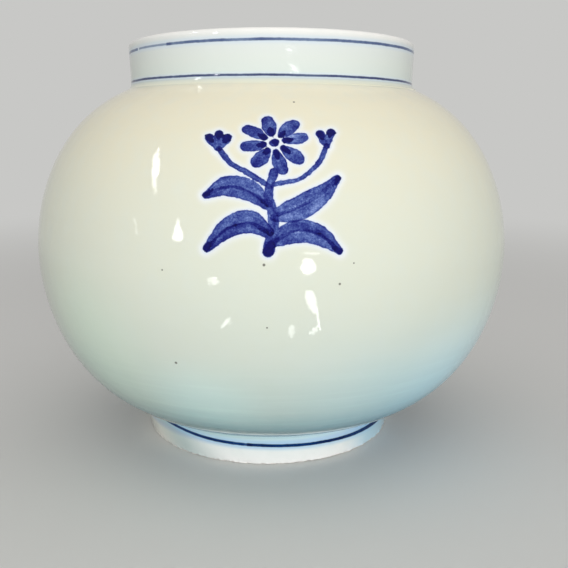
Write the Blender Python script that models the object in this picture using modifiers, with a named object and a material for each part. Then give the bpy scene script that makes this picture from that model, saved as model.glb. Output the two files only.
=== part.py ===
# A round-bodied porcelain jar with a short upright neck and a turned foot.
#
# It is built the way a potter builds a wide jar. Two bowls are thrown apart and
# joined rim to rim at the belly, a neck ring is luted on the shoulder round the
# mouth, and a foot ring is luted under the floor. Three cobalt lines are painted
# round it: two on the neck and one on the foot.
#
# Metres, +Z up. The axis of the wheel is the Z axis and the jar stands on z = 0.

import math

import bpy

# Body. Its outline is one rule above and below the belly:
# (rise / reach) ** SWELL + (radius / BODY_RADIUS) ** FULLNESS = 1
BODY_RADIUS = 0.1200
SHOULDER_REACH = 0.0867
BOWL_REACH = 0.0886
SWELL = 1.9
FULLNESS = 3.5
BODY_WALL = 0.0060
FLOOR_THICKNESS = 0.0070

# Neck, measured on its outside. It opens a little towards the lip.
NECK_HEIGHT = 0.0222
NECK_ROOT_RADIUS = 0.0707
LIP_RADIUS = 0.0715
NECK_WALL = 0.0050
LIP_ROUND = 0.0020
NECK_COVE = 0.0024

# Foot ring, measured on its outside. It narrows a little towards the tread.
FOOT_HEIGHT = 0.0154
FOOT_TOP_RADIUS = 0.0660
TREAD_RADIUS = 0.0654
FOOT_WALL = 0.0080
TREAD_WIDTH = 0.0065
FOOT_COVE = 0.0015
TREAD_ROUND = 0.0012

# Painted lines: their width, and the plain wall left between each and the lip's round or a cove
NECK_LINE_WIDTH = 0.0011
FOOT_LINE_WIDTH = 0.0012
LIP_TO_LINE = 0.0023
NECK_COVE_TO_LINE = 0.0004
FOOT_COVE_TO_LINE = 0.0034

# How finely the shapes are faceted
ROUND_STEPS = 64
BODY_STEPS = 12
ARC_STEPS = 4
SHARP_ANGLE = math.radians(40)
MERGE_DISTANCE = 0.00001

# Surface finishes: colour, roughness and metallic value
GLAZE = ("glazed_porcelain", (0.79, 0.82, 0.77), 0.12, 0.0)
COBALT = ("cobalt_line", (0.05, 0.09, 0.24), 0.15, 0.0)
BARE_CLAY = ("bare_porcelain", (0.72, 0.68, 0.60), 0.75, 0.0)


def remove_everything():
    for thing in list(bpy.data.objects):
        bpy.data.objects.remove(thing, do_unlink=True)


def new_collection(name):
    collection = bpy.data.collections.new(name)
    bpy.context.scene.collection.children.link(collection)
    return collection


def new_material(finish):
    name, colour, roughness, metallic = finish
    material = bpy.data.materials.new(name)
    material.use_nodes = True
    surface = material.node_tree.nodes["Principled BSDF"]
    surface.inputs["Base Color"].default_value = (*colour, 1.0)
    surface.inputs["Roughness"].default_value = roughness
    surface.inputs["Metallic"].default_value = metallic
    material.diffuse_color = (*colour, 1.0)
    return material


def rise_at(radius, full_radius, reach):
    """How far above or below the belly the body's outline comes in to a radius."""
    return reach * (1 - (radius / full_radius) ** FULLNESS) ** (1 / SWELL)


def body_curve(belly, full_radius, reach, side, last_rise):
    """Points from the belly to last_rise, upwards for side 1 and downwards for side -1."""
    last_angle = math.asin((last_rise / reach) ** (SWELL / 2))
    points = []
    for step in range(BODY_STEPS + 1):
        angle = last_angle * step / BODY_STEPS
        radius = full_radius * math.cos(angle) ** (2 / FULLNESS)
        rise = reach * math.sin(angle) ** (2 / SWELL)
        points.append((radius, belly + side * rise))
    return points


def arc(middle_radius, middle_height, size, start, end):
    """Points of a round, with angles in degrees counted from outwards towards the top."""
    points = []
    for step in range(ARC_STEPS + 1):
        angle = math.radians(start + (end - start) * step / ARC_STEPS)
        radius = middle_radius + size * math.cos(angle)
        height = middle_height + size * math.sin(angle)
        points.append((radius, height))
    return points


def along(start, end, height):
    """The radius at a height on the straight line between two (radius, height) points."""
    share = (height - start[1]) / (end[1] - start[1])
    return start[0] + (end[0] - start[0]) * share


def painted_band(start, end, middle, width):
    """The two points that bound a painted line on the straight wall from start to end."""
    high = middle + width / 2
    low = middle - width / 2
    return [(along(start, end, high), high), (along(start, end, low), low)]


def turned(name, profile, closed, collection, glaze):
    """Turns a profile, which runs down its outer side, round the wheel's axis."""
    outline = bpy.data.meshes.new(name + "_outline")
    edges = [(i, i + 1) for i in range(len(profile) - 1)]
    if closed:
        edges.append((len(profile) - 1, 0))
    outline.from_pydata([(radius, 0.0, height) for radius, height in profile], edges, [])
    guide = bpy.data.objects.new(name + "_guide", outline)
    collection.objects.link(guide)
    screw = guide.modifiers.new("Turn", "SCREW")
    screw.axis = "Z"
    screw.steps = ROUND_STEPS
    screw.render_steps = ROUND_STEPS
    screw.use_merge_vertices = True
    screw.merge_threshold = MERGE_DISTANCE
    graph = bpy.context.evaluated_depsgraph_get()
    mesh = bpy.data.meshes.new_from_object(guide.evaluated_get(graph))
    mesh.name = name
    bpy.data.objects.remove(guide)
    bpy.data.meshes.remove(outline)
    mesh.shade_smooth()
    mesh.set_sharp_from_angle(angle=SHARP_ANGLE)
    mesh.materials.clear()
    mesh.materials.append(glaze)
    piece = bpy.data.objects.new(name, mesh)
    collection.objects.link(piece)
    return piece


def paint(piece, material, low, high, inner_radius=0.0):
    """Gives the faces beyond a radius whose middle lies between two heights another finish."""
    mesh = piece.data
    if material.name not in mesh.materials:
        mesh.materials.append(material)
    for face in mesh.polygons:
        beyond = math.hypot(face.center.x, face.center.y) > inner_radius
        if beyond and low <= face.center.z <= high:
            face.material_index = mesh.materials.find(material.name)


def lower_bowl(collection, glaze, belly):
    """The floor and the wall up to the belly. Its flat underside takes the foot ring."""
    inner_radius = BODY_RADIUS - BODY_WALL
    inner_reach = BOWL_REACH - BODY_WALL
    floor = FOOT_HEIGHT + FLOOR_THICKNESS
    outside = body_curve(belly, BODY_RADIUS, BOWL_REACH, -1, belly - FOOT_HEIGHT)
    inside = body_curve(belly, inner_radius, inner_reach, -1, belly - floor)
    profile = [(0.0, floor)] + inside[::-1] + outside + [(0.0, FOOT_HEIGHT)]
    return turned("lower_bowl", profile, False, collection, glaze)


def upper_bowl(collection, glaze, belly, root):
    """The shoulder, from the belly up to the flat ring that the neck stands on."""
    inner_radius = BODY_RADIUS - BODY_WALL
    inner_reach = SHOULDER_REACH - BODY_WALL
    mouth_radius = NECK_ROOT_RADIUS - NECK_WALL
    inner_rise = rise_at(mouth_radius, inner_radius, inner_reach)
    outside = body_curve(belly, BODY_RADIUS, SHOULDER_REACH, 1, root - belly)
    inside = body_curve(belly, inner_radius, inner_reach, 1, inner_rise)
    profile = outside[::-1] + inside + [(mouth_radius, root)]
    return turned("upper_bowl", profile, True, collection, glaze)


def neck_collar(collection, glaze, cobalt, root):
    """The upright neck, with a cove where it meets the shoulder and a rounded lip."""
    top = root + NECK_HEIGHT
    wall_top = (LIP_RADIUS, top - LIP_ROUND)
    wall_foot = (NECK_ROOT_RADIUS, root + NECK_COVE)
    inner_round = NECK_WALL - LIP_ROUND
    mouth_radius = LIP_RADIUS - NECK_WALL
    half_line = NECK_LINE_WIDTH / 2
    upper_line = wall_top[1] - LIP_TO_LINE - half_line
    lower_line = wall_foot[1] + NECK_COVE_TO_LINE + half_line
    profile = arc(mouth_radius + inner_round, top - inner_round, inner_round, 180, 90)
    profile += arc(LIP_RADIUS - LIP_ROUND, top - LIP_ROUND, LIP_ROUND, 90, 0)[1:]
    profile += painted_band(wall_top, wall_foot, upper_line, NECK_LINE_WIDTH)
    profile += painted_band(wall_top, wall_foot, lower_line, NECK_LINE_WIDTH)
    profile += arc(NECK_ROOT_RADIUS + NECK_COVE, root + NECK_COVE, NECK_COVE, 180, 270)
    profile.append((NECK_ROOT_RADIUS - NECK_WALL, root))
    neck = turned("neck_collar", profile, True, collection, glaze)
    for line in (upper_line, lower_line):
        paint(neck, cobalt, line - half_line, line + half_line, mouth_radius + inner_round)
    return neck


def foot_ring(collection, glaze, cobalt, bare_clay):
    """The ring that the jar stands on. Its tread is left bare, so it doesn't stick in the kiln."""
    wall_top = (FOOT_TOP_RADIUS, FOOT_HEIGHT - FOOT_COVE)
    wall_foot = (TREAD_RADIUS, TREAD_ROUND)
    inner_tread = TREAD_RADIUS - TREAD_WIDTH
    inner_top = FOOT_TOP_RADIUS - FOOT_WALL
    half_line = FOOT_LINE_WIDTH / 2
    line = wall_top[1] - FOOT_COVE_TO_LINE - half_line
    profile = [(inner_top - FOOT_COVE, FOOT_HEIGHT)]
    profile += arc(FOOT_TOP_RADIUS + FOOT_COVE, wall_top[1], FOOT_COVE, 90, 180)
    profile += painted_band(wall_top, wall_foot, line, FOOT_LINE_WIDTH)
    profile += arc(TREAD_RADIUS - TREAD_ROUND, TREAD_ROUND, TREAD_ROUND, 0, -90)
    profile += arc(inner_tread + TREAD_ROUND, TREAD_ROUND, TREAD_ROUND, -90, -180)
    profile += arc(inner_top - FOOT_COVE, wall_top[1], FOOT_COVE, 0, 90)[:-1]
    foot = turned("foot_ring", profile, True, collection, glaze)
    paint(foot, cobalt, line - half_line, line + half_line, inner_tread + TREAD_ROUND)
    paint(foot, bare_clay, 0.0, TREAD_ROUND / 2)
    return foot


def build_jar():
    remove_everything()
    jar = new_collection("porcelain_jar")
    glaze = new_material(GLAZE)
    cobalt = new_material(COBALT)
    bare_clay = new_material(BARE_CLAY)
    # The foot and the neck meet the body where its outline comes in to their coves.
    belly = FOOT_HEIGHT + rise_at(FOOT_TOP_RADIUS + FOOT_COVE, BODY_RADIUS, BOWL_REACH)
    root = belly + rise_at(NECK_ROOT_RADIUS + NECK_COVE, BODY_RADIUS, SHOULDER_REACH)
    foot_ring(jar, glaze, cobalt, bare_clay)
    lower_bowl(jar, glaze, belly)
    upper_bowl(jar, glaze, belly, root)
    neck_collar(jar, glaze, cobalt, root)


build_jar()
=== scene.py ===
# White porcelain jar with cobalt brushwork: the looks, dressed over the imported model.
# The jar's painted front faces -Y. The jar's sizes are in millimetres, and the studio's in metres.

import math

import bpy
import numpy as np
from mathutils import Matrix, Vector


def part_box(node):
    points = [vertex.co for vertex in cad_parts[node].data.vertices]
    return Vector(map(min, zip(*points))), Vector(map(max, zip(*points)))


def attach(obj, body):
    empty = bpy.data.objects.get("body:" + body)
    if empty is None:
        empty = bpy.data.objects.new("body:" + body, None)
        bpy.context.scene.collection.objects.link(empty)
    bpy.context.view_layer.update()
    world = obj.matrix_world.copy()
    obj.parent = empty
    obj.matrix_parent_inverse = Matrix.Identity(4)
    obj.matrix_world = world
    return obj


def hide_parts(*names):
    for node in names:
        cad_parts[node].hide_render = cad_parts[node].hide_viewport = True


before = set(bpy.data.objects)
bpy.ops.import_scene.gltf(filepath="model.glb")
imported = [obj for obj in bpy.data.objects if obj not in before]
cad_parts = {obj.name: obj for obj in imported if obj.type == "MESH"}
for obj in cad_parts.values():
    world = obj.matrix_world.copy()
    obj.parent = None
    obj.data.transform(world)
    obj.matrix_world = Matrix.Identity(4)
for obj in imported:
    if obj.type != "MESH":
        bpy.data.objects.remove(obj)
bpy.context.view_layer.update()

mm = 0.001
samePlace = 1e-6  # metres; points closer than this are one
bodyName = "root"


def tint(red, green, blue):
    # a colour as a paint chart gives it, 0 to 255, made linear for a socket
    channels = [part / 255 for part in (red, green, blue)]
    linear = [c / 12.92 if c <= 0.04045 else ((c + 0.055) / 1.055) ** 2.4 for c in channels]
    return (*linear, 1.0)


# wiring: sums written in Python become Math nodes

class Wire:
    # one output socket; every sum on it adds a Math node to its bench
    def __init__(self, bench, socket):
        self.bench = bench
        self.socket = socket

    def __add__(self, other):
        return self.bench.sum("ADD", self, other)

    def __sub__(self, other):
        return self.bench.sum("SUBTRACT", self, other)

    def __rsub__(self, other):
        return self.bench.sum("SUBTRACT", other, self)

    def __mul__(self, other):
        return self.bench.sum("MULTIPLY", self, other)

    def __truediv__(self, other):
        return self.bench.sum("DIVIDE", self, other)

    def __rtruediv__(self, other):
        return self.bench.sum("DIVIDE", other, self)

    __radd__ = __add__
    __rmul__ = __mul__


class Bench:
    # a node tree on the bench, and the ways to add to it
    def __init__(self, tree):
        self.tree = tree

    def node(self, kind, settings=None, values=None, output=0):
        made = self.tree.nodes.new(kind)
        for name, value in (settings or {}).items():
            if name == "stops":
                self.setStops(made.color_ramp, value)
            else:
                setattr(made, name, value)
        for name, value in (values or {}).items():
            if isinstance(value, Wire):
                self.tree.links.new(value.socket, made.inputs[name])
            else:
                made.inputs[name].default_value = value
        return Wire(self, made.outputs[output]) if made.outputs else made

    def setStops(self, ramp, stops):
        while len(ramp.elements) < len(stops):
            ramp.elements.new(1.0)
        for element, (place, colour) in zip(ramp.elements, stops):
            element.position = place
            element.color = colour

    def sum(self, operation, first, second=0.0):
        return self.node("ShaderNodeMath", {"operation": operation}, {0: first, 1: second})

    def least(self, first, second):
        return self.sum("MINIMUM", first, second)

    def most(self, first, second):
        return self.sum("MAXIMUM", first, second)

    def size(self, value):
        return self.sum("ABSOLUTE", value)

    def mark(self, name):
        # a mark stored on the piece's points
        return self.node("ShaderNodeAttribute", {"attribute_name": name}, {}, output="Fac")

    def step(self, value, low, high):
        # 0 below low and 1 above high, with a soft rise; low may be the larger one
        if not isinstance(low, Wire) and low > high:
            return 1 - self.step(value, high, low)
        return self.node("ShaderNodeMapRange", {"interpolation_type": "SMOOTHSTEP"},
                         {0: value, 1: low, 2: high})

    def blend(self, share, first, second, manner="MIX"):
        settings = {"data_type": "RGBA", "blend_type": manner}
        return self.node("ShaderNodeMix", settings, {0: share, 6: first, 7: second}, output=2)

    def stretch(self, vector, scale):
        return self.node("ShaderNodeVectorMath", {"operation": "MULTIPLY"}, {0: vector, 1: scale})

    def apart(self, vector, spot):
        return self.node("ShaderNodeVectorMath", {"operation": "DISTANCE"}, {0: vector, 1: spot},
                         output="Value")

    def noise(self, vector, scale=1.0, detail=2.0, roughness=0.5):
        values = {"Vector": vector, "Scale": scale, "Detail": detail, "Roughness": roughness}
        return self.node("ShaderNodeTexNoise", {}, values)

    def split(self, vector):
        parts = self.node("ShaderNodeSeparateXYZ", {}, {0: vector}).socket.node
        return [Wire(self, parts.outputs[axis]) for axis in "XYZ"]

    def join(self, x, y, z):
        return self.node("ShaderNodeCombineXYZ", {}, {0: x, 1: y, 2: z})


# the jar's outline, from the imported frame

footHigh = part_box("foot_ring")[1]
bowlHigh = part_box("lower_bowl")[1]
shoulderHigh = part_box("upper_bowl")[1]
neckLow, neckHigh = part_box("neck_collar")

jar = {
    "bodyRadius": shoulderHigh.x / mm,
    "bellyHeight": bowlHigh.z / mm,
    "neckRoot": neckLow.z / mm,
    "lipTop": neckHigh.z / mm,
    "footTop": footHigh.z / mm,
    "shoulderReach": 86.7,  # the body's outline rule, above and below the belly
    "bowlReach": 88.6,
    "swell": 1.9,
    "fullness": 3.5,
    "wall": 6.0,
    "floor": 7.0,
    "floorEase": 9.0,  # how far the inside floor takes to turn up into the wall
    "linePoints": 900,  # points on which the outline is worked out before it is spaced
    "columns": 480,  # facets round the jar
    "crowding": 0.72,  # how far they crowd to the painted front
    "seamStep": 0.04,  # a last ring close to each seam keeps the gloss unbroken there
    "sharpAngle": 50.0,  # degrees, past which an edge is shaded sharp
}

ringSteps = {  # how far apart the rings of facets lie
    "shoulder": 0.70,  # close, for the brushwork
    "bowl": 1.2,
    "inside": 2.2,
    "underside": 3.0,
    "outerWall": 0.6,  # on the neck and foot, as are the rest
    "innerWall": 0.9,
    "tread": 0.8,
}

wheelMarks = {
    "ringDepth": 0.12,
    "evenRing": 0.04,  # the same on the neck and foot, which are trued up
    "ringSpacing": 7.0,
    "ringReach": 160.0,  # how far a ring runs round before it changes
    "calm": 34.0,  # below this height the rings fade out towards the foot
    "sway": 0.30,  # the span in which the body's wall wanders from true
    "swayMiddle": 0.55,  # the share of it that lies outward
    "evenSway": 0.25,  # the same two on the neck and foot
    "evenMiddle": 0.8,
    "swaySpacing": 110.0,
    "swayClimb": 1.5,  # how much slower the wander is up the wall than round it
    "hub": 12.0,  # rings and wander die out this close to the wheel's axis
    "grit": 1.9,  # how rough the bare edge of the tread is
    "gritSpacing": 1.8,
    "gritTop": 2.2,  # how far up from the ground it reaches
    "gritFrom": (62.0, 64.0),  # it starts between these radii
    "seed": 3,
}


def resample(points, spacing, ease=0.0):
    # the same line with its points about a spacing apart, and one close to each end
    points = np.array(points, float)
    lengths = np.hypot(*np.diff(points, axis=0).T)
    travel = np.concatenate([[0.0], np.cumsum(lengths)])
    count = max(2, round(travel[-1] / spacing))
    stops = np.linspace(0.0, travel[-1], count + 1)
    if ease:
        stops = np.concatenate([[0.0, ease], stops[1:-1], [travel[-1] - ease, travel[-1]]])
    return np.stack([np.interp(stops, travel, points[:, axis]) for axis in (0, 1)], axis=1)


def ruleRise(radius, fullRadius, reach):
    return reach * (1 - (radius / fullRadius) ** jar["fullness"]) ** (1 / jar["swell"])


def bodyRadiusAt(height):
    rise = abs(height - jar["bellyHeight"])
    reach = jar["shoulderReach"] if height > jar["bellyHeight"] else jar["bowlReach"]
    return jar["bodyRadius"] * (1 - (rise / reach) ** jar["swell"]) ** (1 / jar["fullness"])


def bodyLine(fullRadius, reach, side, lastRise):
    # fine points from the belly up (side 1) or down (side -1)
    angle = np.linspace(0.0, math.asin((lastRise / reach) ** (jar["swell"] / 2)), jar["linePoints"])
    radius = fullRadius * np.cos(angle) ** (2 / jar["fullness"])
    rise = reach * np.sin(angle) ** (2 / jar["swell"])
    return np.stack([radius, jar["bellyHeight"] + side * rise], axis=1)


def arc(middle, size, start, end, count):
    turn = np.radians(np.linspace(start, end, count + 1))
    return np.stack([middle[0] + size * np.cos(turn), middle[1] + size * np.sin(turn)], axis=1)


def onWall(points, wall):
    # each row: radius, height, and 1 on the outside wall or 0 elsewhere
    points = np.array(points, float)
    return np.column_stack([points, np.full(len(points), float(wall))])


def upperBodyOutline():
    j = jar
    outside = bodyLine(j["bodyRadius"], j["shoulderReach"], 1, j["neckRoot"] - j["bellyHeight"])
    inner, reach = j["bodyRadius"] - j["wall"], j["shoulderReach"] - j["wall"]
    mouth = neck["rootRadius"] - neck["wall"]
    inside = bodyLine(inner, reach, 1, ruleRise(mouth, inner, reach))
    rows = [onWall(resample(outside[::-1], ringSteps["shoulder"], j["seamStep"]), 1)]
    rows.append(onWall(resample(inside, ringSteps["inside"], j["seamStep"]), 0))
    rows.append(onWall([(mouth, j["neckRoot"])], 0))
    return np.concatenate(rows)


def lowerBodyOutline():
    j = jar
    outside = bodyLine(j["bodyRadius"], j["bowlReach"], -1, j["bellyHeight"] - j["footTop"])
    inner, reach = j["bodyRadius"] - j["wall"], j["bowlReach"] - j["wall"]
    floor = j["footTop"] + j["floor"]
    # as shares of the radius; the last of them lie closer, where the wall stands up
    shares = np.concatenate([np.linspace(0.0, 0.97, 300), np.sin(np.linspace(1.33, math.pi / 2, 200))])
    radius = np.unique(shares) * inner
    wall = j["bellyHeight"] - ruleRise(radius, inner, reach)
    ease = np.maximum(1 - np.abs(wall - floor) / j["floorEase"], 0.0)
    height = np.maximum(wall, floor) + ease * ease * j["floorEase"] / 4
    inside = np.stack([radius, height], axis=1)
    underside = [(outside[-1][0], j["footTop"]), (0.0, j["footTop"])]
    rows = [onWall(resample(inside, ringSteps["inside"], j["seamStep"]), 0)]
    rows.append(onWall(resample(outside, ringSteps["bowl"], j["seamStep"]), 1))
    rows.append(onWall(resample(underside, ringSteps["underside"])[1:], 0))
    return np.concatenate(rows)


neck = {
    "rootRadius": 71.1,
    "lipRadius": 71.6,
    "lean": (-0.3, 0.0),  # it sits a little to the left, by as much all the way up
    "slope": 0.004,  # its right side is a little high
    "wall": 5.0,
    "lipRound": 2.0,
    "roundFacets": 12,
    "lap": 0.25,  # how far down the shoulder the cove's edge runs out
    "seat": 0.4,  # how far that edge is let into the body
    "upperLine": 193.15,  # heights of the two painted lines
    "lowerLine": 179.0,
}

foot = {
    "topRadius": 67.2,
    "treadRadius": 65.4,
    "wall": 9.2,
    "treadWidth": 6.5,
    "cove": 1.5,
    "seat": 1.2,  # how far the ring's outer edge is let into the body
    "treadRound": 0.8,
    "roundFacets": 8,
    "bareBelow": 0.5,  # the height under which the tread has no glaze
    "line": 10.1,
    "lineWidth": 1.65,
    "lean": (-2.0, -1.8),  # set a little to the left: its shift at the tread, and more on top
}


def neckOutline():
    n = neck
    top, root, facets = jar["lipTop"], jar["neckRoot"], n["roundFacets"]
    mouth, innerRound = n["lipRadius"] - n["wall"], n["wall"] - n["lipRound"]
    inner = arc((mouth + innerRound, top - innerRound), innerRound, 180, 90, facets)
    outer = arc((n["lipRadius"] - n["lipRound"], top - n["lipRound"]), n["lipRound"], 90, 0, facets)
    # the cove runs out along the slope of the shoulder, which falls this steeply at its edge
    edge, near = root - n["lap"], 0.01
    reach = bodyRadiusAt(edge)
    fall = math.atan2(near, bodyRadiusAt(edge - near) - reach)
    size = (reach - n["rootRadius"]) / (1 - math.sin(fall))
    middle = (n["rootRadius"] + size, edge + size * math.cos(fall))
    cove = arc(middle, size, 180, 270 - math.degrees(fall), facets)
    wall = resample([outer[-1], cove[0]], ringSteps["outerWall"])
    inside = resample([(n["rootRadius"] - n["wall"], root), inner[0]], ringSteps["innerWall"])
    rows = [onWall(inside, 0)]
    rows.append(onWall(inner[1:], 0))
    rows.append(onWall(outer[1:], 1))
    rows.append(onWall(wall[1:-1], 1))
    rows.append(onWall(cove, 1))
    rows.append(onWall([(reach, edge - n["seat"])], 1))
    return np.concatenate(rows)


def footOutline():
    f = foot
    top, edge, facets = jar["footTop"], f["treadRound"], f["roundFacets"]
    outer = arc((f["treadRadius"] - edge, edge), edge, 0, -90, facets)
    innerTread = f["treadRadius"] - f["treadWidth"]
    inner = arc((innerTread + edge, edge), edge, -90, -180, facets)
    innerTop = f["topRadius"] - f["wall"]
    recess = arc((innerTop - f["cove"], top - f["cove"]), f["cove"], 0, 90, facets)
    rows = [onWall(resample([(f["topRadius"], top + f["seat"]), outer[0]], ringSteps["outerWall"]), 1)]
    rows.append(onWall(outer[1:], 1))
    rows.append(onWall(resample([outer[-1], inner[0]], ringSteps["tread"])[1:], 0))
    rows.append(onWall(inner[1:], 0))
    rows.append(onWall(resample([inner[-1], recess[0]], ringSteps["innerWall"])[1:], 0))
    rows.append(onWall(recess[1:], 0))
    return np.concatenate(rows)


# the wheel: a Geometry Nodes tree that turns an outline into clay

def wheelTree():
    tree = bpy.data.node_groups.new("throwOnWheel", "GeometryNodeTree")
    face = tree.interface
    face.new_socket("Outline", in_out="INPUT", socket_type="NodeSocketGeometry")
    kinds = {"Columns": "Int", "Closes": "Int", "Glaze": "Material"}
    for name in ("Columns", "Closes", "Crowding", "Ring Depth", "Ring Spacing", "Ring Reach",
                 "Sway", "Sway Spacing", "Sway Middle", "Seed", "Calm", "Hub",
                 "Lean", "Lean More", "Slope", "Grit", "Grit Spacing", "Grit Top", "Glaze"):
        face.new_socket(name, in_out="INPUT", socket_type="NodeSocket" + kinds.get(name, "Float"))
    face.new_socket("Turned", in_out="OUTPUT", socket_type="NodeSocketGeometry")
    bench = Bench(tree)
    entry = bench.node("NodeGroupInput").socket.node
    given = {socket.name: Wire(bench, socket) for socket in entry.outputs if socket.name}

    # a flat sheet, with a row for each point of the outline and a column for each step round
    count = bench.node("GeometryNodeAttributeDomainSize", {"component": "MESH"},
                       {"Geometry": given["Outline"]})
    rows = count + given["Closes"]
    sheet = bench.node("GeometryNodeMeshGrid", {}, {
        "Size X": 1.0, "Size Y": 1.0, "Vertices X": rows, "Vertices Y": given["Columns"] + 1})
    x, y, _ = bench.split(bench.node("GeometryNodeInputPosition"))
    along = bench.sum("ROUND", (x + 0.5) * (rows - 1))
    index = bench.sum("FLOORED_MODULO", along, count)
    turn = y * (2 * math.pi)
    angle = turn - bench.sum("SINE", turn) * given["Crowding"]

    def sampled(kind, value):
        return bench.node("GeometryNodeSampleIndex", {"data_type": kind, "domain": "POINT"},
                          {"Geometry": given["Outline"], "Value": value, "Index": index})

    spot = sampled("FLOAT_VECTOR", bench.node("GeometryNodeInputPosition"))
    radius, _, height = bench.split(spot)
    sine, cosine = bench.sum("SINE", angle), bench.sum("COSINE", angle)
    across, toward = radius * sine, radius * cosine * -1.0
    # faint throwing rings, longer round than they are tall, and a slow wander of the wall
    ringPlace = bench.join(across / given["Ring Reach"] + given["Seed"],
                           toward / given["Ring Reach"], height / given["Ring Spacing"])
    rings = bench.noise(ringPlace, 1.0, 1.0)
    swayPlace = bench.join(across / given["Sway Spacing"], toward / given["Sway Spacing"],
                           height / (given["Sway Spacing"] * wheelMarks["swayClimb"]) + given["Seed"])
    sway = bench.noise(swayPlace, 1.0, 0.0)
    rings = rings * bench.step(height, given["Calm"] / 2, given["Calm"])
    inward = rings * given["Ring Depth"] + (sway - given["Sway Middle"]) * given["Sway"]
    inward = inward * bench.least(radius / given["Hub"], 1.0)
    gritPlace = bench.join(across / given["Grit Spacing"], toward / given["Grit Spacing"],
                           height / given["Grit Spacing"])
    gritFrom = [limit * mm for limit in wheelMarks["gritFrom"]]
    grit = bench.step(height, given["Grit Top"], 0.0) * bench.step(radius, *gritFrom)
    radius = radius - inward - (bench.noise(gritPlace, 1.0, 1.0) - 0.5) * grit * given["Grit"]
    lean = given["Lean"] + given["Lean More"] * height
    place = bench.join(radius * sine + lean, radius * cosine * -1.0, height + across * given["Slope"])
    # the two marks are stored first, because the flat sheet's place gives their row
    shaped = sheet
    for name in ("wall", "climb"):
        value = bench.node("GeometryNodeInputNamedAttribute", {"data_type": "FLOAT"}, {"Name": name})
        shaped = bench.node("GeometryNodeStoreNamedAttribute",
                            {"data_type": "FLOAT", "domain": "POINT"},
                            {"Geometry": shaped, "Name": name, "Value": sampled("FLOAT", value)})
    shaped = bench.node("GeometryNodeSetPosition", {}, {"Geometry": shaped, "Position": place})
    sealed = bench.node("GeometryNodeMergeByDistance", {}, {"Geometry": shaped, "Distance": samePlace})
    real = bench.node("GeometryNodeRealizeInstances", {}, {"Geometry": sealed})
    glazed = bench.node("GeometryNodeSetMaterial", {}, {"Geometry": real, "Material": given["Glaze"]})
    bench.node("NodeGroupOutput", {}, {"Turned": glazed})
    return tree


def climbAlong(outline):
    # how far each outside point lies above the belly along the wall
    travel = np.concatenate([[0.0], np.cumsum(np.hypot(*np.diff(outline[:, :2], axis=0).T))])
    belly = np.argmax(outline[:, 0] * outline[:, 2])
    return travel[belly] - travel


def turnPiece(name, outline, closes, material, even=False, lean=(0.0, 0.0), slope=0.0):
    guide = bpy.data.meshes.new(name + "Outline")
    edges = [(i, i + 1) for i in range(len(outline) - 1)]
    guide.from_pydata([(r * mm, 0.0, h * mm) for r, h, _ in outline], edges, [])
    for label, values in (("wall", outline[:, 2]), ("climb", climbAlong(outline))):
        attribute = guide.attributes.new(label, "FLOAT", "POINT")
        attribute.data.foreach_set("value", values.astype(np.float32))
    piece = bpy.data.objects.new(name + "Guide", guide)
    bpy.context.scene.collection.objects.link(piece)
    wheel = piece.modifiers.new("Wheel", "NODES")
    wheel.node_group = wheelGroup
    marks = wheelMarks
    settings = {
        "Columns": jar["columns"], "Closes": int(closes), "Crowding": jar["crowding"],
        "Ring Depth": marks["evenRing" if even else "ringDepth"] * mm,
        "Ring Spacing": marks["ringSpacing"] * mm, "Ring Reach": marks["ringReach"] * mm,
        "Sway": marks["evenSway" if even else "sway"] * mm, "Sway Spacing": marks["swaySpacing"] * mm,
        "Sway Middle": marks["evenMiddle" if even else "swayMiddle"],
        "Seed": float(marks["seed"]), "Calm": marks["calm"] * mm, "Hub": marks["hub"] * mm,
        "Lean": lean[0] * mm, "Lean More": lean[1] / jar["footTop"], "Slope": slope,
        "Grit": marks["grit"] * mm, "Grit Spacing": marks["gritSpacing"] * mm,
        "Grit Top": marks["gritTop"] * mm, "Glaze": material,
    }
    for item in wheelGroup.interface.items_tree:
        if item.in_out == "INPUT" and item.name in settings:
            wheel[item.identifier] = settings[item.name]
    graph = bpy.context.evaluated_depsgraph_get()
    mesh = bpy.data.meshes.new_from_object(piece.evaluated_get(graph))
    mesh.name = name
    bpy.data.objects.remove(piece)
    bpy.data.meshes.remove(guide)
    mesh.shade_smooth()
    mesh.set_sharp_from_angle(angle=math.radians(jar["sharpAngle"]))
    piece = bpy.data.objects.new(name, mesh)
    bpy.context.scene.collection.objects.link(piece)
    triangles = sum(len(face.vertices) - 2 for face in mesh.polygons)
    print(name, "turned:", len(mesh.vertices), "points,", triangles, "triangles")
    return piece


wheelGroup = wheelTree()
print("wheel ready")


# the brushwork: strokes in millimetres across the front and up from the belly

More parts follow.
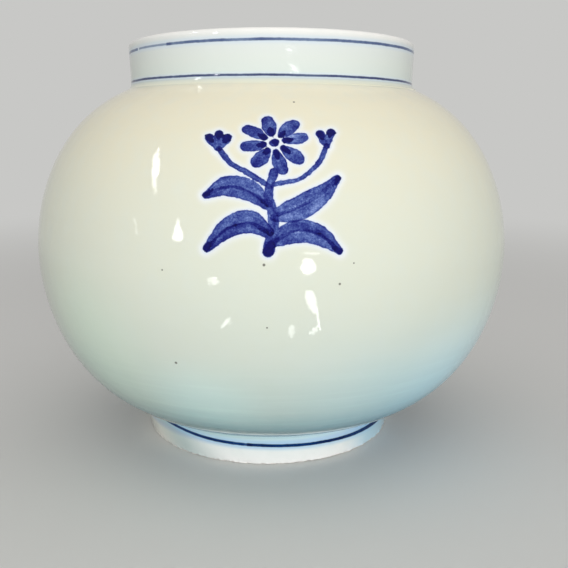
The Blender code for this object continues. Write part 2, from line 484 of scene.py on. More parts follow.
spray = {
    "seed": 11,
    "tremble": 0.28,  # how far the hand wanders
    "sample": 0.5,  # how close together a stroke's points lie
    "spanPoints": 24,  # points on which each span of its curve is worked out first
    "fewestPoints": 6,
    "landing": 2.6,  # how far a stroke stays dark after the brush lands
    "gathering": 0.10,  # how much darker it grows over its last two fifths
    "bristles": (2.3, 4.4, 7.2),  # streaks along a stroke, as waves across it
    "bristleInk": 0.045,
    "bristleDrift": 0.16,
    "poolTaper": 0.35,  # a pool's width where it starts, as a share of the stroke's
    "poolWidth": (0.82, 1.0),
    "glow": 1.5,  # how far the glaze clears round a stroke
    "clearing": 0.9,
    "far": -9.0,  # the depth stored where no stroke is near
    "reach": 40.0,  # the spray lies within this far to each side
    "lowest": 2.0,
    "flower": (0.6, 57.5),
    "petals": 8,
    "petalTurn": 100.0,  # degrees to the first petal, and how far each may stray
    "petalStray": 4.0,
    "petalTip": 11.2,  # from the flower's middle out to where the brush lands
    "petalRoot": 4.3,
    "petalLength": 0.6,  # how much the petals differ in length and in bend
    "petalBend": 0.12,
    "petalHalf": 2.8,  # half a petal's width, and the share of it from tip to root
    "petalShape": ((0.0, 0.86), (0.42, 1.0), (1.0, 0.52)),
    "petalTone": (0.30, 0.22),
    "leafHalf": 3.7,
    "leafWave": (0.12, 0.94),  # a leaf swells like this part of half a wave
    "leafMeeting": 1.3,  # how quickly its two strokes draw together at the ends
    "leafSpread": 0.56,  # how far they lie from its rib, as a share of its half
    "leafStroke": (0.24, 0.42),
    "leafShade": 0.04,
    "leafPool": 4.2,
}

strokes = []  # each has its path, with rows of across, up and half width
pools = []  # where the ink stood at a stroke's end: paths of the same kind
hand = np.random.default_rng(spray["seed"])


def smoothPath(points):
    # a smooth curve through the points, with a cubic for each span
    points = np.array(points, float)
    ends = np.vstack([2 * points[0] - points[1], points, 2 * points[-1] - points[-2]])
    share = np.linspace(0, 1, spray["spanPoints"], endpoint=False)[:, None]
    parts = []
    for a, b, c, d in zip(ends, ends[1:], ends[2:], ends[3:]):
        curve = 2 * b + (c - a) * share + (2 * a - 5 * b + 4 * c - d) * share ** 2
        parts.append((curve + (3 * b - a - 3 * c + d) * share ** 3) / 2)
    line = np.vstack(parts + [points[-1:]])
    travel = np.concatenate([[0.0], np.cumsum(np.hypot(*np.diff(line[:, :2], axis=0).T))])
    count = max(spray["fewestPoints"], round(travel[-1] / spray["sample"]))
    stops = np.linspace(0.0, travel[-1], count)
    return np.stack([np.interp(stops, travel, line[:, k]) for k in range(3)], axis=1)


def lay(points, layer="first", tone=0.45, pool=2.4, landing=0.18):
    # one pull of the brush: it lands at the first point, and its ink pools over the last millimetres
    path = smoothPath(points)
    wander = np.cumsum(hand.normal(0, 1, (len(path), 3)), axis=0)
    wander -= np.linspace(0, 1, len(path))[:, None] * wander[-1]
    path = path + wander * spray["tremble"] / math.sqrt(len(path))
    strokes.append({"layer": layer, "path": path, "tone": tone, "landing": landing,
                    "bristles": hand.uniform(0, 2 * math.pi, 3)})
    if pool:
        rest = path[-max(3, round(pool / spray["sample"])):].copy()
        taper = np.linspace(spray["poolTaper"], 1.0, len(rest))
        rest[:, 2] *= taper * hand.uniform(*spray["poolWidth"])
        pools.append(rest)


def layLeaf(spine, tone):
    # two strokes side by side, which meet at the tip and overlap along the leaf's rib
    spine = np.array(spine, float)
    way = np.gradient(spine, axis=0)
    aside = np.stack([-way[:, 1], way[:, 0]], axis=1) / np.hypot(*way.T)[:, None]
    s = spray
    swell = np.sin(np.linspace(*s["leafWave"], len(spine)) * math.pi)
    narrow, more = s["leafStroke"]
    for sign, layer, pool in ((1, "first", 0), (-1, "over", s["leafPool"])):
        shift = aside * (swell ** s["leafMeeting"] * s["leafHalf"] * s["leafSpread"] * sign)[:, None]
        wide = s["leafHalf"] * (narrow + swell * more)
        lay(np.column_stack([spine + shift, wide]), layer, tone + s["leafShade"] * sign, pool)


def layFlower():
    s = spray
    middle = np.array(s["flower"])
    palest, darker = s["petalTone"]
    for k in range(s["petals"]):
        stray = hand.uniform(-s["petalStray"], s["petalStray"])
        angle = math.radians(s["petalTurn"] + 360 * k / s["petals"] + stray)
        tip = s["petalTip"] + hand.uniform(-s["petalLength"], s["petalLength"])
        bend = hand.uniform(-s["petalBend"], s["petalBend"])
        points = []
        for share, half in s["petalShape"]:
            away = tip + (s["petalRoot"] - tip) * share
            turn = angle + bend * (1 - share)
            spot = middle + away * np.array([math.cos(turn), math.sin(turn)])
            points.append((*spot, s["petalHalf"] * half))
        lay(points, ("first", "over")[k % 2], palest + darker * hand.random(), 2.2 + hand.random())
    lay([(*(middle - (0.5, 0.2)), 1.6), (*(middle + (0.5, 0.2)), 1.6)], "first", 0.50, 1.5)


def layBud(root, dabs):
    x, y = root
    for dx, dy in dabs:
        halfway = (x + dx * 0.55, y + dy * 0.55, 1.8)
        lay([(x, y, 1.3), halfway, (x + dx, y + dy, 1.9)], "first", 0.42, 2.6)


def laySpray():
    # the stem, four leaves, two buds and the flower; each place has across, up and a half width
    lay([(0.6, 45.0, 1.7), (-1.3, 36.0, 1.9), (0.3, 26.0, 2.1), (-1.5, 14.8, 2.3)], "first", 0.46, 4.0)
    layLeaf([(-1.6, 32.0), (-9.0, 37.6), (-17.5, 39.0), (-25.6, 35.4)], 0.44)
    layLeaf([(-1.0, 21.5), (-8.5, 25.5), (-17.0, 23.0), (-25.2, 15.2)], 0.50)
    layLeaf([(0.2, 28.0), (8.4, 30.4), (17.0, 35.2), (25.0, 42.4)], 0.40)
    layLeaf([(-0.4, 18.0), (8.0, 22.0), (17.0, 20.8), (25.6, 14.4)], 0.47)
    left = [(-0.8, 39.0, 1.0), (-9.0, 44.2, 1.0), (-16.0, 48.6, 1.0), (-20.6, 54.6, 1.2)]
    lay(left, "over", 0.48, 0, 0)
    layBud((-20.8, 54.6), ((-3.8, 5.2), (0.0, 6.8), (3.4, 5.0)))
    lay([(0.4, 40.0, 1.0), (10.0, 42.4, 1.0), (17.2, 48.4, 1.0), (20.8, 56.0, 1.2)], "over", 0.48, 0, 0)
    layBud((21.0, 56.0), ((-2.6, 5.6), (1.9, 6.4)))
    layFlower()


def strokeAt(stroke, spots):
    # for every spot: how deep inside the stroke it lies, and how much ink the brush left there
    path = stroke["path"]
    off = spots[:, None, :] - path[None, :, :2]
    inside = path[None, :, 2] - np.hypot(off[..., 0], off[..., 1])
    nearest = inside.argmax(axis=1)
    rows = np.arange(len(spots))
    off, half = off[rows, nearest], path[nearest, 2]
    way = np.gradient(path[:, :2], axis=0)
    way = (way / np.hypot(*way.T)[:, None])[nearest]
    side = (off[:, 1] * way[:, 0] - off[:, 0] * way[:, 1]) / half
    travel = np.linspace(0, 1, len(path)) * np.hypot(*np.diff(path[:, :2], axis=0).T).sum()
    along = travel[nearest] + (off * way).sum(axis=1)
    load = stroke["tone"] + stroke["landing"] * np.exp(-np.maximum(along, 0.0) / spray["landing"])
    load += spray["gathering"] * np.clip(along / travel[-1] * 2.5 - 1.5, 0.0, 1.0)
    for phase, waves in zip(stroke["bristles"], spray["bristles"]):
        load += spray["bristleInk"] * np.sin(side * waves + phase + along * spray["bristleDrift"])
    return inside[rows, nearest], load


def paintSpray(mesh):
    # stores on every point of the body what the brush left there
    places = np.empty(len(mesh.vertices) * 3, np.float32)
    mesh.vertices.foreach_get("co", places)
    x, y, z = places.reshape(-1, 3).T / mm
    wall, climb = np.empty(len(x), np.float32), np.empty(len(x), np.float32)
    mesh.attributes["wall"].data.foreach_get("value", wall)
    mesh.attributes["climb"].data.foreach_get("value", climb)
    across = np.arctan2(x, -y) * np.hypot(x, y)
    near = (wall > 0.5) & (np.abs(across) < spray["reach"]) & (climb > spray["lowest"])
    spots = np.stack([across[near], climb[near]], axis=1)
    depth = {layer: np.full(len(spots), spray["far"]) for layer in ("first", "over", "pool")}
    load = {layer: np.zeros(len(spots)) for layer in ("first", "over")}
    clay = np.ones(len(spots))
    for stroke in strokes:
        layer = stroke["layer"]
        deep, ink = strokeAt(stroke, spots)
        load[layer] = np.where(deep > depth[layer], ink, load[layer])
        depth[layer] = np.maximum(deep, depth[layer])
        clay *= 1 - spray["clearing"] * np.exp(-(np.minimum(deep, 0.0) / spray["glow"]) ** 2)
    for path in pools:
        apart = np.hypot(spots[:, None, 0] - path[None, :, 0], spots[:, None, 1] - path[None, :, 1])
        depth["pool"] = np.maximum(depth["pool"], (path[None, :, 2] - apart).max(axis=1))
    marks = {"glow": (1 - clay, 0.0)}
    marks.update({layer + "Depth": (values, spray["far"]) for layer, values in depth.items()})
    marks.update({layer + "Load": (values, 0.0) for layer, values in load.items()})
    for name, (values, elsewhere) in marks.items():
        everywhere = np.full(len(x), elsewhere, np.float32)
        everywhere[near] = values
        mesh.attributes.new(name, "FLOAT", "POINT").data.foreach_set("value", everywhere)
    print("spray painted on", len(spots), "points with", len(strokes), "strokes")


laySpray()


# glazes

glazeTonesAndPaintedLight = (  # height above the ground, and the colour there: the glaze's tint, with painted light and shade in it
    (0.0, (254, 254, 251)),
    (7.6, (246, 253, 250)),
    (10.0, (212, 229, 247)),
    (12.0, (202, 228, 242)),
    (13.2, (210, 236, 240)),
    (14.0, (198, 226, 230)),
    # 14.35 to 14.55: a dark line where the foot meets the body, painted shadow and glaze pooled in the
    #                 crease
    (14.35, (144, 176, 180)),
    (14.55, (144, 176, 180)),
    # 14.8 to 15.35: a pale line in the crease, a painted reflection
    (14.8, (218, 251, 253)),
    (15.35, (218, 251, 253)),
    # 15.45 up to 70: darker, greener and tealer down towards the foot, partly glaze pooling and partly
    #                 painted shade and reflection
    (15.45, (112, 154, 160)),
    (20.6, (160, 202, 203)),
    # 22 to 24.2: a pale band, a painted reflection
    (22.0, (196, 230, 230)),
    (24.2, (208, 238, 238)),
    # 24.9 to 28.7: a darker ring, painted dark reflection and glaze pooling
    (24.9, (108, 154, 160)),
    (26.4, (128, 173, 179)),
    (28.7, (163, 202, 205)),
    (33.0, (187, 218, 215)),
    (42.0, (209, 229, 220)),
    (70.0, (222, 231, 218)),
    # 130 to 174: creamier up the shoulder, partly the glaze's tint and partly painted warm light from
    #             above
    (130.0, (229, 230, 211)),
    (158.0, (235, 230, 205)),
    (171.0, (241, 234, 208)),
    (174.0, (247, 239, 213)),
    # 175.4 to 177: lighter in the neck's cove to offset its shade, painted light; 178: darker just
    #               under the lower line
    (175.4, (253, 246, 218)),
    (175.7, (242, 240, 216)),
    (177.0, (222, 225, 210)),
    (178.0, (195, 205, 202)),
    (179.0, (218, 228, 223)),
    (186.0, (226, 233, 227)),
    (194.5, (230, 236, 234)),
    (197.0, (250, 248, 243)),
)

bodyDriftAndReflections = (  # patches painted lighter and bluer, partly glaze drift and partly painted reflection: middle, inner and outer reach
    ((-80.0, -84.0, 64.0), (6.0, 50.0), (255, 264, 260)),
    ((-28.0, -100.0, 44.0), (4.0, 34.0), (259, 269, 274)),
    ((88.0, -60.0, 50.0), (10.0, 62.0), (266, 272, 277)),
)
footShadeAndTints = (
    # darker and bluer towards the foot's right end
    ((60.0, -34.0, 8.0), (11.0, 36.0), (200, 232, 250)),
    # painted shade over the foot's left side
    ((-160.0, -50.0, -159.0), (199.0, 215.0), (204, 217, 217)),
    # lighter and greyer again at the far left end
    ((-70.0, -18.0, 8.0), (20.0, 44.0), (312, 292, 283)),
)

paintedBluishReflection = {  # a painted bluish reflection, low down on the jar's right
    "tint": (233, 263, 289),
    "across": (-30.0, 90.0),
    "height": (95.0, 22.0),
    "starts": (6.0, 22.0),  # above the painted line on the foot
    "behind": (110.0, 0.0),
}

glaze = {
    "cloudScale": 0.022,  # clouds shift the tones up and down by so much, on the body's wall alone
    "cloudDrift": 20.0,
    "cloudLow": (20.0, 60.0),
    "cloudHigh": (172.0, 150.0),
    "mottleScale": 0.16,
    "mottle": (222, 232, 226),
    "streakScale": (0.02, 0.02, 0.42),  # level streaks low on the body
    "streakLow": (18.0, 26.0),
    "streakHigh": (74.0, 34.0),
    "streak": (262, 262, 261),
    "within": (228, 232, 222),  # inside the jar and under it
    "speck": (58, 50, 40),
    "bareClay": ((252, 250, 245), (230, 225, 214)),
    "bareRough": 0.75,
    "gloss": 0.03,  # the least roughness, and how much the mottle adds
    "mottleGloss": 0.03,
    "waveScale": 0.07,  # its skin is faintly wavy
    "fineWaveScale": 0.45,
    "fineWave": 0.12,
    "waveDepth": 0.16,
    "refraction": 1.46,
    "specular": 0.26,
}

cobalt = {  # the ink's colour from thin to thick
    "inks": ((0.0, (172, 188, 224)), (0.20, (118, 138, 200)), (0.40, (76, 96, 164)),
             (0.56, (50, 64, 142)), (0.72, (30, 40, 124)), (0.87, (6, 10, 106)), (1.0, (0, 0, 72))),
    "halo": (240, 245, 250),
    "haloShare": 0.75,
    "bleed": (196, 210, 242),
    "bleedShare": 0.4,
    "bleedReach": 1.1,
    "edge": 0.16,  # half the width of a stroke's soft edge
    "wobble": 0.9,  # how far noise shifts that edge
    "poolWobble": 1.4,
    "blotch": 0.55,  # what noise of three sizes adds to the ink
    "patch": 0.45,
    "grain": 0.80,
    "rim": 0.10,  # the ink is darker just inside the edge
    "rimDepth": 0.35,
    "rimWidth": 0.5,
    "crossing": 0.45,  # how much the paler of two crossing strokes adds
    "pooled": 0.92,  # the ink in a pool, and how much it varies
    "poolPatch": 0.3,
}

# The lines are banded on the turning wheel. "lands" and "lifts" are degrees to the right of the front;
# from its lift to its landing a line is thin, by as much as "break". "tilt" is its climb to the right,
# "drift" more climbs between two places across, "swell" a gain in width. Its halo reaches so far below
# and above, has the share "soak" of the colour "bleed", and begins at "dry".
neckLines = (
    {"height": neck["upperLine"], "width": 1.15, "tilt": 0.49,
     "lands": -40.1, "lifts": -59.1, "break": 1.0, "halo": (2.6, 2.6),
     "bleed": (208, 224, 242), "soak": 0.6, "cover": 0.95,
     "ink": (108, 128, 160), "dark": (62, 80, 128)},
    {"height": neck["lowerLine"], "width": 1.0, "tilt": -0.15,
     "lands": 150.0, "lifts": 146.0, "break": 1.0, "halo": (1.8, 1.8),
     "bleed": (208, 224, 242), "soak": 0.6, "cover": 0.95,
     "ink": (74, 88, 122), "dark": (36, 44, 96)},
)
footLines = (
    {"height": foot["line"], "width": foot["lineWidth"], "tilt": -2.7, "lands": -10.6, "lifts": -11.0,
     "break": 0.12, "swell": (28.0, 54.0, 0.35), "drift": ((-26.0, -62.0, 2.4), (30.0, 60.0, 0.8)),
     "halo": (3.7, 3.8), "bleed": (168, 212, 244), "soak": 0.78, "dry": (-56.0, -46.0),
     "cover": 0.995, "ink": (0, 54, 114), "dark": (0, 28, 78)},
)

banding = {  # how the lines come out of the brush
    "slowScale": 0.045,
    "fineScale": 0.5,
    "slim": 0.92,  # the least share of a line's width, and how much comes and goes
    "comesAndGoes": 0.16,
    "thinning": 0.2,
    "landingWidth": 0.04,
    "stray": 0.5,  # how far it strays up and down
    "fray": 0.22,  # how uneven its edges are
    "softness": 0.2,
    "innerHalo": 0.3,  # the halo is full this close to the line's middle
    "fineInk": 0.35,
    "landingInk": 0.3,
    "thinInk": 0.3,
    "thinCover": 0.15,
    "gapCover": 0.3,
}

specks = (  # iron spots in the clay: across, up from the ground, how wide
    (8.5, 167.3, 0.40), (-3.2, 107.3, 0.48), (25.6, 99.6, 0.42), (-39.3, 65.4, 0.50),
    (-43.1, 104.0, 0.32), (-2.1, 82.9, 0.32), (31.1, 107.3, 0.28),
    (150.0, 121.0, 0.45), (-170.0, 74.0, 0.40), (238.0, 96.0, 0.35), (-250.0, 139.0, 0.45),
    (330.0, 58.0, 0.4),
)


def rampStops(stops):
    return [(place, tint(*colour)) for place, colour in stops]


def lineOn(bench, place, outside, colour, line):
    b = banding
    x, y, z = bench.split(place)
    slow = bench.noise(bench.stretch(place, (1.0, 1.0, 0.0)), b["slowScale"], 2.0)
    fine = bench.noise(place, b["fineScale"], 2.0)
    turn = bench.sum("ARCTAN2", x, y * -1.0) * (180 / math.pi)
    lapse = line["lands"] - line["lifts"]
    sinceLift = turn - line["lifts"]
    # the thin stretch, the gap where the brush lifts, and the blot where it lands
    thin = bench.step(sinceLift, -0.6, 0.2) * bench.step(sinceLift, lapse + 0.5, lapse - 0.5)
    gap = bench.step(bench.size(sinceLift), 0.9, 0.3)
    landing = bench.step(bench.size(sinceLift - lapse - 1.2), 2.4, 0.2)
    half = b["slim"] + slow * b["comesAndGoes"] + landing * b["landingWidth"]
    half = half - (thin * b["thinning"] + gap) * line["break"]
    start, end, more = line.get("swell", (0.0, 1.0, 0.0))
    half = (half + bench.step(x, start, end) * more) * (line["width"] / 2)
    centre = x / neck["rootRadius"] * line["tilt"] + (slow - 0.5) * b["stray"] + line["height"]
    for start, end, lift in line.get("drift", ()):
        centre = centre + bench.step(x, start, end) * lift
    off = bench.size(z - centre)
    below, above = line["halo"]
    full = b["innerHalo"]
    halo = bench.step(centre - z, below, full) * bench.step(z - centre, above, full) * outside
    if "dry" in line:
        halo = halo * bench.step(x, *line["dry"])
    colour = bench.blend(halo * line["soak"], colour, tint(*line["bleed"]))
    mask = bench.step(off - half - (fine - 0.5) * b["fray"], b["softness"], -b["softness"]) * outside
    heavy = slow + (fine - 0.5) * b["fineInk"] + landing * b["landingInk"] - thin * b["thinInk"]
    tone = bench.blend(bench.step(heavy, 0.25, 0.75), tint(*line["ink"]), tint(*line["dark"]))
    cover = line["cover"] - (thin * b["thinCover"] + gap * b["gapCover"]) * line["break"]
    return bench.blend(mask * cover, colour, tone)


def brushOn(bench, place, colour):
    depth = {layer: bench.mark(layer + "Depth") for layer in ("first", "over", "pool")}
    load = {layer: bench.mark(layer + "Load") for layer in ("first", "over")}
    c = cobalt
    wobble = (bench.noise(place, 0.55, 3.0) - 0.5) * c["wobble"]
    blotch = bench.noise(place, 0.22, 2.0) - 0.5
    patch = bench.noise(place, 0.7, 2.0) - 0.5
    grain = bench.noise(place, 1.5, 2.0, 0.75) - 0.5
    first = bench.step(depth["first"] + wobble, -c["edge"], c["edge"])
    over = bench.step(depth["over"] + wobble, -c["edge"], c["edge"])
    pool = bench.step(depth["pool"] + wobble + patch * c["poolWobble"], -c["edge"], c["edge"])
    either = bench.most(first, over)
    nearest = bench.most(depth["first"], depth["over"])
    firstInk, overInk = first * load["first"], over * load["over"]
    rim = bench.step(bench.size(nearest - c["rimDepth"]), c["rimWidth"], 0.0)
    density = bench.most(firstInk, overInk) + bench.least(firstInk, overInk) * c["crossing"]
    uneven = blotch * c["blotch"] + patch * c["patch"] + grain * c["grain"] + rim * c["rim"]
    density = density + uneven * either
    density = density + pool * (c["pooled"] + patch * c["poolPatch"] - density)
    ink = bench.node("ShaderNodeValToRGB", {"stops": rampStops(c["inks"])}, {0: density})
    colour = bench.blend(bench.mark("glow") * c["haloShare"], colour, tint(*c["halo"]))
    bleed = bench.step(nearest + wobble, -c["bleedReach"], 0.0)
    colour = bench.blend(bleed * c["bleedShare"], colour, tint(*c["bleed"]))
    return bench.blend(bench.most(either, pool), colour, ink)


def jarGlaze(name, lines=(), washes=(), painted=False, specked=False, bareBelow=0.0):
    material = bpy.data.materials.new(name)
    material.use_nodes = True
    bench = Bench(material.node_tree)
    surface = material.node_tree.nodes["Principled BSDF"]
    place = bench.node("ShaderNodeTexCoord", {}, {}, output="Object")
    place = bench.stretch(place, (1 / mm,) * 3)
    x, y, z = bench.split(place)
    outside = bench.mark("wall")
    g = glaze
    clouds = bench.noise(place, g["cloudScale"], 2.0)
    mottle = bench.noise(place, g["mottleScale"], 3.0)
    drift = bench.step(z, *g["cloudLow"]) * bench.step(z, *g["cloudHigh"]) * g["cloudDrift"]
    height = z + (clouds - 0.5) * drift
    top = jar["lipTop"]
    # the colour by height, which holds painted light and shade as well as the glaze's tint
    shadedTones = rampStops([(level / top, shade) for level, shade in glazeTonesAndPaintedLight])
    colour = bench.node("ShaderNodeValToRGB", {"stops": shadedTones}, {0: height / top})
    colour = bench.blend((mottle - 0.42) * 0.5, colour, tint(*g["mottle"]))
    streaks = bench.noise(bench.stretch(place, g["streakScale"]), 1.0, 2.0)
    streaks = bench.step(streaks, 0.42, 0.72)
    streaks = streaks * bench.step(z, *g["streakLow"]) * bench.step(z, *g["streakHigh"])
    colour = bench.blend(streaks * 0.8, colour, tint(*g["streak"]), "MULTIPLY")
    # a painted bluish reflection, low on the jar's right
    bluishReflection = bench.step(x, *paintedBluishReflection["across"]) * bench.step(z, *paintedBluishReflection["height"])
    bluishReflection = bluishReflection * bench.step(z, *paintedBluishReflection["starts"]) * bench.step(y, *paintedBluishReflection["behind"])
    colour = bench.blend(bluishReflection, colour, tint(*paintedBluishReflection["tint"]), "MULTIPLY")
    # tinted patches: glaze drift with painted reflection on the body, and painted shade on the foot's
    # left
    for spot, reach, shade in washes:
        away = bench.apart(place, spot)
        colour = bench.blend(bench.step(away, reach[1], reach[0]), colour, tint(*shade), "MULTIPLY")
    colour = bench.blend(1 - outside, colour, tint(*g["within"]))
    rough = g["gloss"] + mottle * g["mottleGloss"]
    for line in lines:
        colour = lineOn(bench, place, outside, colour, line)
    if painted:
        colour = brushOn(bench, place, colour)
    for across, up, wide in (specks if specked else ()):
        radius = bodyRadiusAt(up)
        spot = (radius * math.sin(across / radius), -radius * math.cos(across / radius), up)
        dot = bench.step(bench.apart(place, spot), wide * 1.6, wide * 0.5)
        colour = bench.blend(dot * 0.85, colour, tint(*g["speck"]))
    if bareBelow:
        # bare clay, with an uneven edge of glaze
        grit = bench.noise(place, 2.2, 3.0)
        edge = bench.noise(bench.stretch(place, (1.0, 1.0, 0.0)), 0.3, 3.0)
        bare = bench.step(z - (edge - 0.5) * 1.6, bareBelow + 0.15, bareBelow - 0.15)
        smooth, gritty = g["bareClay"]
        clay = bench.blend(bench.step(grit, 0.45, 0.7), tint(*smooth), tint(*gritty))
        colour = bench.blend(bare, colour, clay)
        rough = rough + bare * (g["bareRough"] - rough)
    waves = bench.noise(place, g["waveScale"], 1.0)
    waves = waves + bench.noise(place, g["fineWaveScale"], 1.0) * g["fineWave"]
    bump = bench.node("ShaderNodeBump", {},
                      {"Strength": 1.0, "Distance": g["waveDepth"] * mm, "Height": waves})
    material.node_tree.links.new(colour.socket, surface.inputs["Base Color"])
    material.node_tree.links.new(rough.socket, surface.inputs["Roughness"])
    material.node_tree.links.new(bump.socket, surface.inputs["Normal"])
    surface.inputs["IOR"].default_value = g["refraction"]
    surface.inputs["Specular IOR Level"].default_value = g["specular"]
    return material


paintedGlaze = jarGlaze("paintedGlaze", washes=bodyDriftAndReflections, painted=True, specked=True)
shoulder = turnPiece("shoulder", upperBodyOutline(), True, paintedGlaze)
paintSpray(shoulder.data)
plainGlaze = jarGlaze("plainGlaze", washes=bodyDriftAndReflections, specked=True)
bowl = turnPiece("bowl", lowerBodyOutline(), False, plainGlaze)
neckGlaze = jarGlaze("neckGlaze", neckLines)
collar = turnPiece("collar", neckOutline(), True, neckGlaze, even=True,
                   lean=neck["lean"], slope=neck["slope"])
footGlaze = jarGlaze("footGlaze", footLines, footShadeAndTints, bareBelow=foot["bareBelow"])
standingFoot = turnPiece("standingFoot", footOutline(), True, footGlaze, even=True, lean=foot["lean"])
dressed = ((shoulder, "upper_bowl"), (bowl, "lower_bowl"),
           (collar, "neck_collar"), (standingFoot, "foot_ring"))
for piece, node in dressed:
    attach(piece, bodyName)
    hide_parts(node)
print("pieces dressed")


# floor, lights and camera

studio = {
    "paper": (226, 225, 222),  # the floor, as the camera and the gloss see it
    "paperBounce": (110, 108, 104),
    "backdrop": (200, 200, 198),  # what the camera and the gloss see beyond the floor
    "fadeFrom": 0.34,  # metres from the jar to where the paper starts to turn into backdrop
    "fadeTo": 1.1,
    "fill": 0.55,  # the even light that falls from all round
    "floorReach": 3.0,
    "boxesFace": (0, 0, 0.1),  # the places on the jar's axis that the lamps face
    "panesFace": (0, 0, 0.12),
}

# soft lights that leave no mark in the gloss
softBoxes = (  # place, width, height and watts
    ("frontBox", (0.35, -1.7, 0.75), 1.2, 0.9, 2.0),
    ("lowBox", (0.14, -1.8, 0.30), 1.0, 0.5, 19.4),
)

# small lamps that light only the gloss: the marks of windows in it
windowPanes = (  # low end, high end, width and brightness
    ("tallPane", (-0.813, -0.532, 0.608), (-0.687, -0.155, 0.914), 0.034, 18.0),
    ("tallGlow", (-0.776, -0.413, 0.746), (-0.731, -0.276, 0.849), 0.048, 32.0),
    ("leftPane", (-0.711, -0.828, 0.287), (-0.708, -0.794, 0.404), 0.088, 32.0),
    ("leftTip", (-0.709, -0.818, 0.337), (-0.695, -0.755, 0.513), 0.036, 16.0),
    ("faintPane", (-0.930, -0.556, 0.276), (-0.935, -0.457, 0.436), 0.0210, 6.0),
    ("starPane", (0.280, -1.081, 0.055), (0.280, -1.080, 0.158), 0.137, 32.0),
    ("lowHead", (0.066, -0.255, 0.019), (0.056, -0.270, 0.063), 0.0165, 17.0),
    ("lowStem", (0.051, -0.194, 0.027), (0.049, -0.206, 0.055), 0.0036, 17.0),
    ("lowTail", (0.037, -0.186, 0.025), (0.047, -0.189, 0.038), 0.0056, 14.0),
    ("spotPane", (-0.167, -0.431, 0.033), (-0.186, -0.428, 0.074), 0.0280, 15.0),
    ("wedgePane", (-0.046, -0.202, 0.040), (-0.055, -0.194, 0.030), 0.0040, 16.0),
    ("creamPane", (0.020, -0.187, 0.0215), (0.019, -0.196, 0.039), 0.0060, 10.5),
    ("neckPane", (0.284, -1.026, 0.203), (0.287, -1.026, 0.2255), 0.170, 14.0),
)


def seenDirectly(bench):
    # 1 for rays of the camera, the gloss and clear glass, and 0 for the light that falls on things
    path = bench.node("ShaderNodeLightPath").socket.node
    camera, gloss, clear = [Wire(bench, path.outputs[name]) for name in
                            ("Is Camera Ray", "Is Glossy Ray", "Is Transmission Ray")]
    return bench.most(bench.most(camera, gloss), clear)


floorMesh = bpy.data.meshes.new("floor")
edge = studio["floorReach"]
corners = [(-edge, -edge, 0), (edge, -edge, 0), (edge, edge, 0), (-edge, edge, 0)]
floorMesh.from_pydata(corners, [], [(0, 1, 2, 3)])
floor = bpy.data.objects.new("floor", floorMesh)
bpy.context.scene.collection.objects.link(floor)
paper = bpy.data.materials.new("paper")
paper.use_nodes = True
paperBench = Bench(paper.node_tree)
paperSurface = paper.node_tree.nodes["Principled BSDF"]
paperTone = paperBench.blend(seenDirectly(paperBench),
                             tint(*studio["paperBounce"]), tint(*studio["paper"]))
paper.node_tree.links.new(paperTone.socket, paperSurface.inputs["Base Color"])
paperSurface.inputs["Roughness"].default_value = 0.9
paperSurface.inputs["Specular IOR Level"].default_value = 0.0
paperPlace = paperBench.node("ShaderNodeTexCoord", {}, {}, output="Object")
far = paperBench.node("ShaderNodeVectorMath", {"operation": "LENGTH"}, {0: paperPlace}, output="Value")
fade = paperBench.step(far, studio["fadeFrom"], studio["fadeTo"]) * seenDirectly(paperBench)
beyond = paperBench.node("ShaderNodeEmission", {},
                         {"Color": tint(*studio["backdrop"]), "Strength": 1.0})
turned = paperBench.node("ShaderNodeMixShader", {},
                         {0: fade, 1: Wire(paperBench, paperSurface.outputs[0]), 2: beyond})
paper.node_tree.links.new(turned.socket, paper.node_tree.nodes["Material Output"].inputs["Surface"])
floorMesh.materials.append(paper)

world = bpy.data.worlds.new("studio")
bpy.context.scene.world = world
world.use_nodes = True
worldBench = Bench(world.node_tree)
fill = (studio["fill"],) * 3 + (1.0,)
sky = worldBench.blend(seenDirectly(worldBench), fill, tint(*studio["backdrop"]))
world.node_tree.links.new(sky.socket, world.node_tree.nodes["Background"].inputs["Color"])
world.node_tree.nodes["Background"].inputs["Strength"].default_value = 1.0


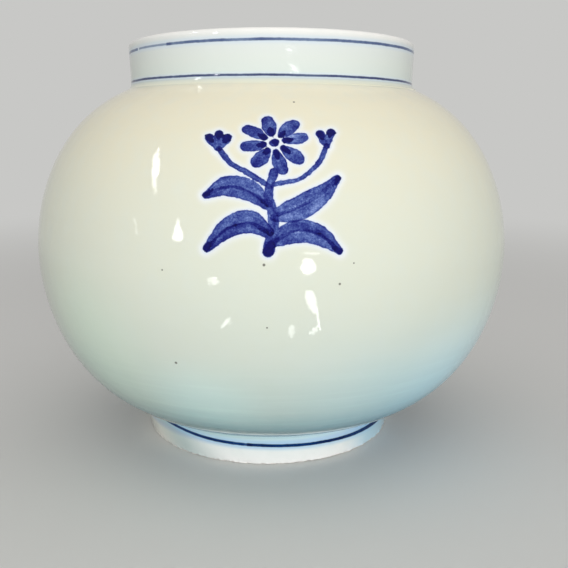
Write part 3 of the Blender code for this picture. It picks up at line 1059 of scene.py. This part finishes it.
def hangLamp(name, shape, middle, facing, upright, width, height, watts):
    lamp = bpy.data.lights.new(name, "AREA")
    lamp.shape = shape
    lamp.size, lamp.size_y, lamp.energy = width, height, watts
    holder = bpy.data.objects.new(name, lamp)
    bpy.context.scene.collection.objects.link(holder)
    back = (Vector(middle) - Vector(facing)).normalized()
    across = Vector(upright).cross(back).normalized()
    turn = Matrix((across, back.cross(across), back)).transposed()
    holder.matrix_world = Matrix.Translation(middle) @ turn.to_4x4()
    return holder


for name, place, width, height, watts in softBoxes:
    box = hangLamp(name, "RECTANGLE", place, studio["boxesFace"], (0, 0, 1), width, height, watts)
    box.visible_glossy = False
for name, low, high, width, brightness in windowPanes:
    low, high = Vector(low), Vector(high)
    height = (high - low).length
    # a lamp's watts are its brightness times pi times its area, here that of an ellipse
    watts = brightness * math.pi * width * height * math.pi / 4
    pane = hangLamp(name, "ELLIPSE", (low + high) / 2, studio["panesFace"], high - low,
                    width, height, watts)
    pane.visible_camera = pane.visible_diffuse = False
print("studio lit")

shot = {
    "height": 0.1553,
    "back": 0.3751,
    "pitch": 0.212666,  # the turns are in radians
    "yaw": 0.01673,
    "roll": 0.0037046,
    "sensor": 36.0,  # millimetres
    "focalPixels": 700.0,  # the lens's reach, for a picture that is so many pixels wide
    "picturePixels": 568.0,
    "nearest": 0.01,
}
cameraData = bpy.data.cameras.new("camera")
cameraData.lens = shot["sensor"] * shot["focalPixels"] / shot["picturePixels"]
cameraData.sensor_width = shot["sensor"]
cameraData.sensor_fit = "HORIZONTAL"
cameraData.clip_start = shot["nearest"]
camera = bpy.data.objects.new("camera", cameraData)
bpy.context.scene.collection.objects.link(camera)
look = Vector((math.sin(shot["yaw"]) * math.cos(shot["pitch"]),
               math.cos(shot["yaw"]) * math.cos(shot["pitch"]), -math.sin(shot["pitch"])))
side = look.cross(Vector((0, 0, 1))).normalized()
up = side.cross(look)
side, up = (side * math.cos(shot["roll"]) + up * math.sin(shot["roll"]),
            up * math.cos(shot["roll"]) - side * math.sin(shot["roll"]))
camera.matrix_world = Matrix((
    (side.x, up.x, -look.x, 0.0), (side.y, up.y, -look.y, -shot["back"]),
    (side.z, up.z, -look.z, shot["height"]), (0, 0, 0, 1)))
bpy.context.scene.camera = camera

bpy.context.scene.view_settings.view_transform = "Standard"
